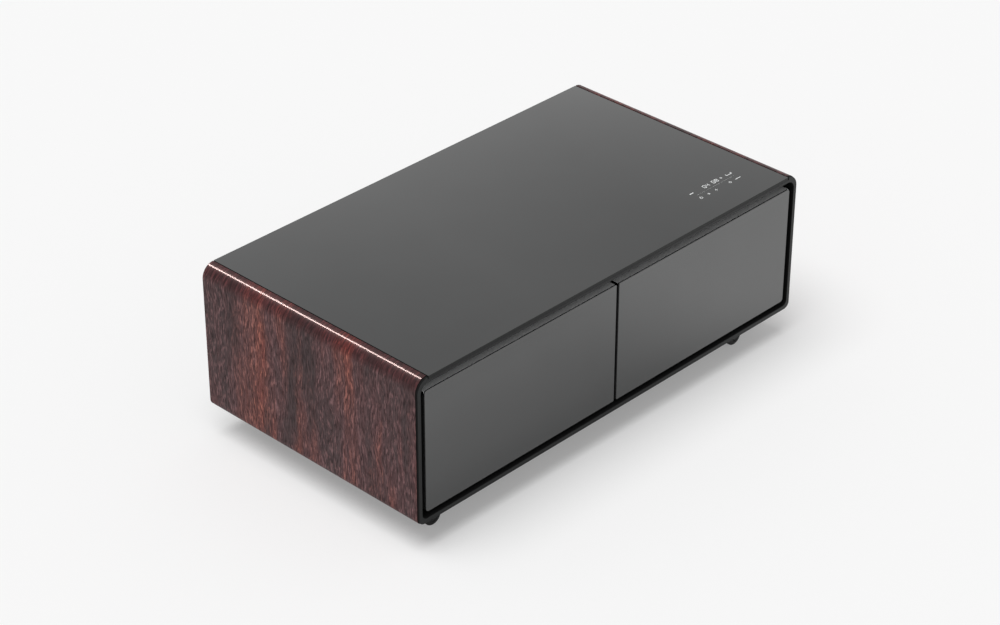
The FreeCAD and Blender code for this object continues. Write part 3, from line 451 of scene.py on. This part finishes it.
def glass_sheet():
    low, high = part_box("glass_top")
    top = high[2] - MARK_THICKNESS
    shape = bmesh.new()
    block(shape, low, (high[0], high[1], top))
    rim = [edge for edge in shape.edges if all(vert.co.z > top - GLASS_BEVEL for vert in edge.verts)]
    soften(shape, rim, GLASS_BEVEL, GLASS_BEVEL_STEPS)
    for face in shape.faces:
        face.material_index = 0 if face.normal.z > FACING else 1
    piece("glass_sheet", shape, "cabinet", "black_glass", [FINISHES["black_glass"], GLASS_EDGE],
          "glass_top")


def bar(shape, x, y, length, width, turn=0.0):
    # One printed line
    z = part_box("glass_top")[1][2] - MARK_THICKNESS / 2
    placed = Matrix.Translation((x, y, z)) @ Matrix.Rotation(turn, 4, "Z")
    sized = Matrix.Diagonal((length, width, MARK_THICKNESS, 1.0))
    bmesh.ops.create_cube(shape, size=1.0, matrix=placed @ sized)


def ring(shape, centre, axis, inner, outer, width, steps):
    # A square-section ring: a four-cornered loop at the middle of its section, spun about the axis
    axis = Vector(axis)
    outward = axis.orthogonal().normalized()
    section = Matrix((outward, axis, outward.cross(axis))).transposed().to_4x4()
    corner = math.sqrt(2.0)
    sized = Matrix.Diagonal(((outer - inner) / corner, width / corner, 1.0, 1.0))
    middle = Vector(centre) + outward * (inner + outer) / 2
    placed = Matrix.Translation(middle) @ section @ sized @ Matrix.Rotation(math.pi / 4, 4, "Z")
    loop = bmesh.ops.create_circle(shape, segments=4, radius=1.0, matrix=placed)["verts"]
    edges = list({edge for vert in loop for edge in vert.link_edges})
    before = set(shape.faces)
    bmesh.ops.spin(shape, geom=loop + edges, cent=centre, axis=axis, angle=2 * math.pi, steps=steps,
                   use_merge=True)
    made = [face for face in shape.faces if face not in before]
    bmesh.ops.recalc_face_normals(shape, faces=made)
    return made


def digit(shape, figure, x, y):
    # One seven-bar figure
    half_x = DIGIT_WIDTH / 2
    half_y = DIGIT_HEIGHT / 2
    bars = {
        "a": (0, half_y, 0),
        "b": (half_x, half_y / 2, QUARTER_TURN),
        "c": (half_x, -half_y / 2, QUARTER_TURN),
        "d": (0, -half_y, 0),
        "e": (-half_x, -half_y / 2, QUARTER_TURN),
        "f": (-half_x, half_y / 2, QUARTER_TURN),
        "g": (0, 0, 0),
    }
    for name in SEVEN_BARS[figure]:
        side_x, side_y, turn = bars[name]
        length = DIGIT_HEIGHT / 2 if turn else DIGIT_WIDTH
        bar(shape, x + side_x, y + side_y, length - DIGIT_LINE / 2, DIGIT_LINE, turn)


def touch_marks():
    # Two temperatures over a hairline, and plain signs: menu, lock, power, frost, plus, lamp and minus
    shape = bmesh.new()
    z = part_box("glass_top")[1][2] - MARK_THICKNESS / 2
    for index, figure in enumerate(FIGURES):
        gap = FIGURES_GAP if index >= len(FIGURES) / 2 else 0.0
        digit(shape, figure, FIGURES_START + index * DIGIT_PITCH + gap, DISPLAY_ROW)
    for x, y, radius in ((DEGREE_X, DISPLAY_ROW, DEGREE_RADIUS), (POWER_X, BUTTON_ROW, POWER_RADIUS),
                         (LAMP_X, BUTTON_ROW, LAMP_RADIUS)):
        ring(shape, (x, y, z), (0, 0, 1), radius - MARK_LINE / 2, radius + MARK_LINE / 2, MARK_THICKNESS,
             MARK_STEPS)
    bar(shape, POWER_X, BUTTON_ROW + POWER_RADIUS, POWER_STEM, MARK_LINE, QUARTER_TURN)
    for turn in (0, math.pi / 3, 2 * math.pi / 3):
        bar(shape, FROST_X, BUTTON_ROW, SIGN_LENGTH, MARK_LINE, turn)
    for turn in (0, QUARTER_TURN):
        bar(shape, PLUS_X, BUTTON_ROW, SIGN_LENGTH, MARK_LINE, turn)
    bar(shape, RULE_X, (DISPLAY_ROW + BUTTON_ROW) / 2, RULE_LENGTH, HAIRLINE)
    bar(shape, MENU_X, DISPLAY_ROW, MENU_LENGTH, MENU_LINE)
    bar(shape, MINUS_X, BUTTON_ROW, MINUS_LENGTH, BROAD_LINE)
    bar(shape, LOCK_X, DISPLAY_ROW - LOCK_DEPTH / 2, LOCK_WIDTH, BROAD_LINE)
    for end in (-1, 1):
        bar(shape, LOCK_X + end * LOCK_WIDTH / 2, DISPLAY_ROW, LOCK_DEPTH, BROAD_LINE, QUARTER_TURN)
    piece("touch_marks", shape, "cabinet", "black_glass", [PRINT])


# Drawer seals and the moulded inner side of the drawer fronts

def inset(shape, faces, thickness, depth, outset=False):
    # Draws a frame inside or outside a region of faces, and raises the region
    bmesh.ops.inset_region(shape, faces=faces, thickness=thickness, depth=depth, use_boundary=True,
                           use_even_offset=True, use_outset=outset)


def drawer_seal(side):
    # A flange, a narrow neck and a wider magnet tube, raised by insets from a flat frame whose copy stays
    # behind to close the base
    name = "drawer_gasket_" + side
    low, high = (Vector(corner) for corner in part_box(name))
    middle = (low + high) / 2
    shape = bmesh.new()
    upright = Matrix.Rotation(-QUARTER_TURN, 4, "X")
    placed = Matrix.Translation((middle.x, low.y, middle.z)) @ upright
    sized = Matrix.Diagonal((high.x - low.x, high.z - low.z, 1.0, 1.0))
    bmesh.ops.create_grid(shape, x_segments=1, y_segments=1, size=0.5, matrix=placed @ sized)
    mouth = shape.faces[:]
    inset(shape, mouth, GASKET_WIDTH, 0.0)
    bmesh.ops.delete(shape, geom=mouth, context="FACES")
    frame_faces = shape.faces[:]
    bmesh.ops.duplicate(shape, geom=frame_faces)
    depth = high.y - low.y
    for aside, share, outset in SEAL_STEPS:
        inset(shape, frame_faces, aside, depth * share, outset)
    bmesh.ops.remove_doubles(shape, verts=shape.verts[:], dist=WELD)
    bmesh.ops.recalc_face_normals(shape, faces=shape.faces[:])
    piece("drawer_seal_" + side, shape, "drawer_" + side, "seal_rubber", [FINISHES["seal_rubber"]], name)


def drawer_liner(side):
    # White polystyrene behind the drawer front, with a shallow dished middle
    name = "drawer_core_" + side
    low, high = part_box(name)
    shape = bmesh.new()
    block(shape, low, high)
    rear = [face for face in shape.faces if face.normal.y > FACING]
    inset(shape, rear, LINER_BORDER, 0.0)
    inset(shape, rear, LINER_STEP, -LINER_STEP)
    folds = [edge for edge in shape.edges
             if not edge.is_convex or edge.calc_face_angle(0.0) > SHARP_FOLD]
    soften(shape, folds, LINER_ROUND, LINER_ROUND_STEPS)
    piece("drawer_liner_" + side, shape, "drawer_" + side, "white_plastic", [FINISHES["white_plastic"]],
          name)


# Casters and screws

def caster_wheel(place):
    # A ribbed rubber tyre on a nylon hub with a sunk web
    name = "caster_wheel_" + place
    low, high = (Vector(corner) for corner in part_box(name))
    centre = (low + high) / 2
    radius = (high.z - low.z) / 2
    width = high.y - low.y
    across = (0, 1, 0)
    shape = bmesh.new()
    tyre = ring(shape, centre, across, TYRE_INNER, radius, width, WHEEL_STEPS)
    rims = {edge for face in tyre for edge in face.edges if edge.calc_face_angle(0.0) > SHARP_FOLD
            and all((vert.co - centre).xz.length > radius - TYRE_ROUND for vert in edge.verts)}
    soften(shape, list(rims), TYRE_ROUND, TYRE_ROUND_STEPS)
    tread = [face for face in shape.faces
             if (face.calc_center_median() - centre).xz.length > radius - TREAD_DEPTH / 5]
    bmesh.ops.inset_individual(shape, faces=tread, thickness=TREAD_MARGIN, depth=-TREAD_DEPTH,
                               use_even_offset=True)
    hub = ring(shape, centre, across, HUB_BORE, HUB_BOSS, width, WHEEL_STEPS)
    hub += ring(shape, centre, across, HUB_BOSS - HUB_LAP, HUB_RIM + HUB_LAP, HUB_WEB_WIDTH, WHEEL_STEPS)
    hub += ring(shape, centre, across, HUB_RIM, TYRE_INNER + HUB_LAP, width - 2 * HUB_SIDE, WHEEL_STEPS)
    for face in hub:
        face.material_index = 1
    piece("wheel_" + place, shape, name, "tread_rubber", [FINISHES["tread_rubber"], HUB], name)


def screw(shape, place, outward):
    # A pan head with a cross recess, and a shank drawn out of its underside
    before = set(shape.verts)
    rise = HEAD_HEIGHT - HEAD_CROWN
    disc = bmesh.ops.create_cone(shape, segments=SCREW_SEGMENTS, radius1=HEAD_RADIUS, radius2=HEAD_RADIUS,
                                 depth=rise, cap_ends=True, matrix=Matrix.Translation((0, 0, rise / 2)))
    caps = {face for vert in disc["verts"] for face in vert.link_faces
            if len(face.verts) == SCREW_SEGMENTS}
    top, underside = sorted(caps, key=lambda face: -face.calc_center_median().z)
    inset(shape, [top], HEAD_CROWN, HEAD_CROWN)
    inset(shape, [underside], HEAD_RADIUS - SHANK_RADIUS, 0.0)
    inset(shape, [underside], 0.0, SHANK_LENGTH)
    rim = list(top.edges)
    bmesh.ops.delete(shape, geom=[top], context="FACES_ONLY")
    cross = bmesh.ops.create_grid(shape, x_segments=3, y_segments=3, size=RECESS_LENGTH / 2,
                                  matrix=Matrix.Translation((0, 0, HEAD_HEIGHT - RECESS_DEPTH)))["verts"]
    cells = {face for vert in cross for face in vert.link_faces}
    corners = [face for face in cells if min(map(abs, face.calc_center_median().xy)) > RECESS_LENGTH / 4]
    bmesh.ops.delete(shape, geom=corners, context="FACES")
    mouth = [edge for face in cells if face.is_valid for edge in face.edges if edge.is_boundary]
    raised = bmesh.ops.extrude_edge_only(shape, edges=mouth)["geom"]
    lifted = [part for part in raised if isinstance(part, bmesh.types.BMVert)]
    bmesh.ops.translate(shape, verts=lifted, vec=(0, 0, RECESS_DEPTH))
    lip = [part for part in raised if isinstance(part, bmesh.types.BMEdge)]
    bmesh.ops.bridge_loops(shape, edges=rim + lip)
    made = [vert for vert in shape.verts if vert not in before]
    turned = Vector(outward).to_track_quat("Z", "Y").to_matrix().to_4x4()
    bmesh.ops.transform(shape, matrix=Matrix.Translation(place) @ turned, verts=made)


def screw_places(node, outward):
    # The middle of each separate solid of a node, moved to the seat of its head. A solid is found by
    # going on from one of its points to all that edges join to it.
    outward = Vector(outward)
    copy = bmesh.new()
    copy.from_mesh(nodes[node].data)
    bmesh.ops.remove_doubles(copy, verts=copy.verts[:], dist=WELD)
    places = []
    left = set(copy.verts)
    while left:
        solid = {left.pop()}
        fresh = set(solid)
        while fresh:
            fresh = {edge.other_vert(vert) for vert in fresh for edge in vert.link_edges} - solid
            solid |= fresh
        left -= solid
        reach = max(vert.co.dot(outward) for vert in solid)
        middle = sum((vert.co for vert in solid), Vector()) / len(solid)
        places.append(middle + outward * (reach - HEAD_HEIGHT - middle.dot(outward)))
    copy.free()
    return places


def screws(name, node, outward):
    shape = bmesh.new()
    for place in screw_places(node, outward):
        screw(shape, place, outward)
    bmesh.ops.recalc_face_normals(shape, faces=shape.faces[:])
    piece(name, shape, "cabinet", "zinc_steel", [FINISHES["zinc_steel"]], node)


glass_sheet()
touch_marks()
for side in SIDES:
    drawer_seal(side)
    drawer_liner(side)
for place in CASTERS:
    caster_wheel(place)
screws("back_cross_screws", "back_panel_screws", (0, 1, 0))
screws("caster_cross_screws", "caster_screws", (0, 0, -1))


def studio_paper():
    # Pale paper that partly glows, so that the shadow stays light. Reflections of its left part are
    # darkened by painted shade that only they see, darkest close to the table, for the table's shadow
    # seen in the glass.
    material, tree, surface = start_material("studio_paper")
    surface.inputs["Base Color"].default_value = linear(FLOOR_WHITE)
    surface.inputs["Roughness"].default_value = 1.0
    surface.inputs["Specular IOR Level"].default_value = 0.0
    glow = add(tree, "Emission", {"Color": linear(FLOOR_WHITE)})
    paper = add(tree, "MixShader", {"Fac": FLOOR_FILL, 1: surface.outputs["BSDF"],
                                    2: glow.outputs["Emission"]})
    across = add(tree, "SeparateXYZ", {"Vector": add(tree, "TexCoord").outputs["Object"]})
    shade = add(tree, "MapRange", {"Value": across.outputs["Y"], "From Min": MIRROR_SHADE_DEPTH[0],
                                   "From Max": MIRROR_SHADE_DEPTH[1], "To Min": MIRROR_SHADE_DARKENS[0],
                                   "To Max": MIRROR_SHADE_DARKENS[1]})
    covered = add(tree, "MapRange", {"Value": across.outputs["X"], "From Min": MIRROR_SHADE_EDGE[0],
                                     "From Max": MIRROR_SHADE_EDGE[1], "To Min": shade.outputs["Result"],
                                     "To Max": 0.0}, interpolation_type="SMOOTHSTEP")
    # Painted shade: only glossy rays see the floor darkened here
    mirrored = add(tree, "LightPath").outputs["Is Glossy Ray"]
    mirror_shade_share = add(tree, "Math", {0: covered.outputs["Result"], 1: mirrored}, operation="MULTIPLY")
    mirror_shade_black = add(tree, "Emission", {"Strength": 0.0})
    seen = add(tree, "MixShader", {"Fac": mirror_shade_share.outputs["Value"], 1: paper.outputs["Shader"],
                                   2: mirror_shade_black.outputs["Emission"]})
    tree.links.new(seen.outputs["Shader"], tree.nodes["Material Output"].inputs["Surface"])
    return material


def floor():
    shape = bmesh.new()
    bmesh.ops.create_grid(shape, x_segments=1, y_segments=1, size=FLOOR_SIZE / 2)
    mesh = bpy.data.meshes.new("studio_floor")
    shape.to_mesh(mesh)
    shape.free()
    mesh.materials.append(studio_paper())
    sheet = bpy.data.objects.new("studio_floor", mesh)
    bpy.context.scene.collection.objects.link(sheet)


def hang(lamp, place):
    # Hangs a lamp at a place and turns it to the middle of the table
    holder = bpy.data.objects.new(lamp.name, lamp)
    turned = place.to_track_quat("Z", "Y").to_matrix().to_4x4()
    holder.matrix_world = Matrix.Translation(place) @ turned
    bpy.context.scene.collection.objects.link(holder)
    return holder


def room_light():
    # A white room: full white to the camera, a little dimmer to gloss that looks right, low as a light
    world = bpy.data.worlds.new("studio")
    bpy.context.scene.world = world
    world.use_nodes = True
    tree = world.node_tree
    path = add(tree, "LightPath")
    mirrored = add(tree, "Math", {0: path.outputs["Is Glossy Ray"],
                                  1: path.outputs["Is Transmission Ray"]}, operation="MAXIMUM")
    seen = add(tree, "Math", {0: path.outputs["Is Camera Ray"], 1: mirrored.outputs["Value"]},
               operation="MAXIMUM")
    aim = add(tree, "SeparateXYZ", {"Vector": add(tree, "TexCoord").outputs["Generated"]})
    room = add(tree, "MapRange", {"Value": aim.outputs["X"], "From Min": ROOM_SIDE[0],
                                  "From Max": ROOM_SIDE[1], "To Min": ROOM_LEVEL[0],
                                  "To Max": ROOM_LEVEL[1]})
    bright = add(tree, "MapRange", {"Value": path.outputs["Is Camera Ray"],
                                    "To Min": room.outputs["Result"], "To Max": 1.0})
    level = add(tree, "MapRange", {"Value": seen.outputs["Value"], "To Min": WORLD_LEVEL,
                                   "To Max": bright.outputs["Result"]})
    sky = tree.nodes["Background"]
    sky.inputs["Color"].default_value = (1.0, 1.0, 1.0, 1.0)
    tree.links.new(level.outputs["Result"], sky.inputs["Strength"])


def overhead_softbox():
    # A broad soft light from above, a little to the left, that gloss doesn't mirror
    sun = bpy.data.lights.new("overhead_softbox", "SUN")
    sun.energy = SUN_STRENGTH
    sun.angle = SUN_ANGLE
    hang(sun, SUN_FROM).visible_glossy = False


def highlight_strip():
    # A strip high behind the table that only the lacquered ends mirror, as a line along their round-over
    strip = bpy.data.lights.new("highlight_strip", "AREA")
    strip.shape = "RECTANGLE"
    strip.size = STRIP_WIDTH
    strip.size_y = STRIP_LENGTH
    strip.energy = STRIP_POWER
    strip.color = linear(STRIP_TINT)[:3]
    strip_holder = hang(strip, STRIP_FROM * STRIP_DISTANCE)
    strip_holder.visible_diffuse = False
    lacquered = bpy.data.collections.new("strip_receivers")
    for side in SIDES:
        lacquered.objects.link(nodes["side_panel_" + side])
    strip_holder.light_linking.receiver_collection = lacquered


def camera():
    # Looks down at the table from its left front, with a slight roll
    level = math.cos(CAMERA_ELEVATION)
    back = Vector((math.sin(CAMERA_AZIMUTH) * level, -math.cos(CAMERA_AZIMUTH) * level,
                   math.sin(CAMERA_ELEVATION)))
    lens = bpy.data.cameras.new("camera")
    lens.lens = CAMERA_LENS
    lens.sensor_width = CAMERA_SENSOR
    holder = bpy.data.objects.new("camera", lens)
    turned = (-back).to_track_quat("-Z", "Y").to_matrix() @ Matrix.Rotation(CAMERA_ROLL, 3, "Z")
    holder.matrix_world = Matrix.Translation(CAMERA_PLACE) @ turned.to_4x4()
    bpy.context.scene.collection.objects.link(holder)
    bpy.context.scene.camera = holder


floor()
room_light()
overhead_softbox()
highlight_strip()
camera()
bpy.context.scene.view_settings.view_transform = "Standard"
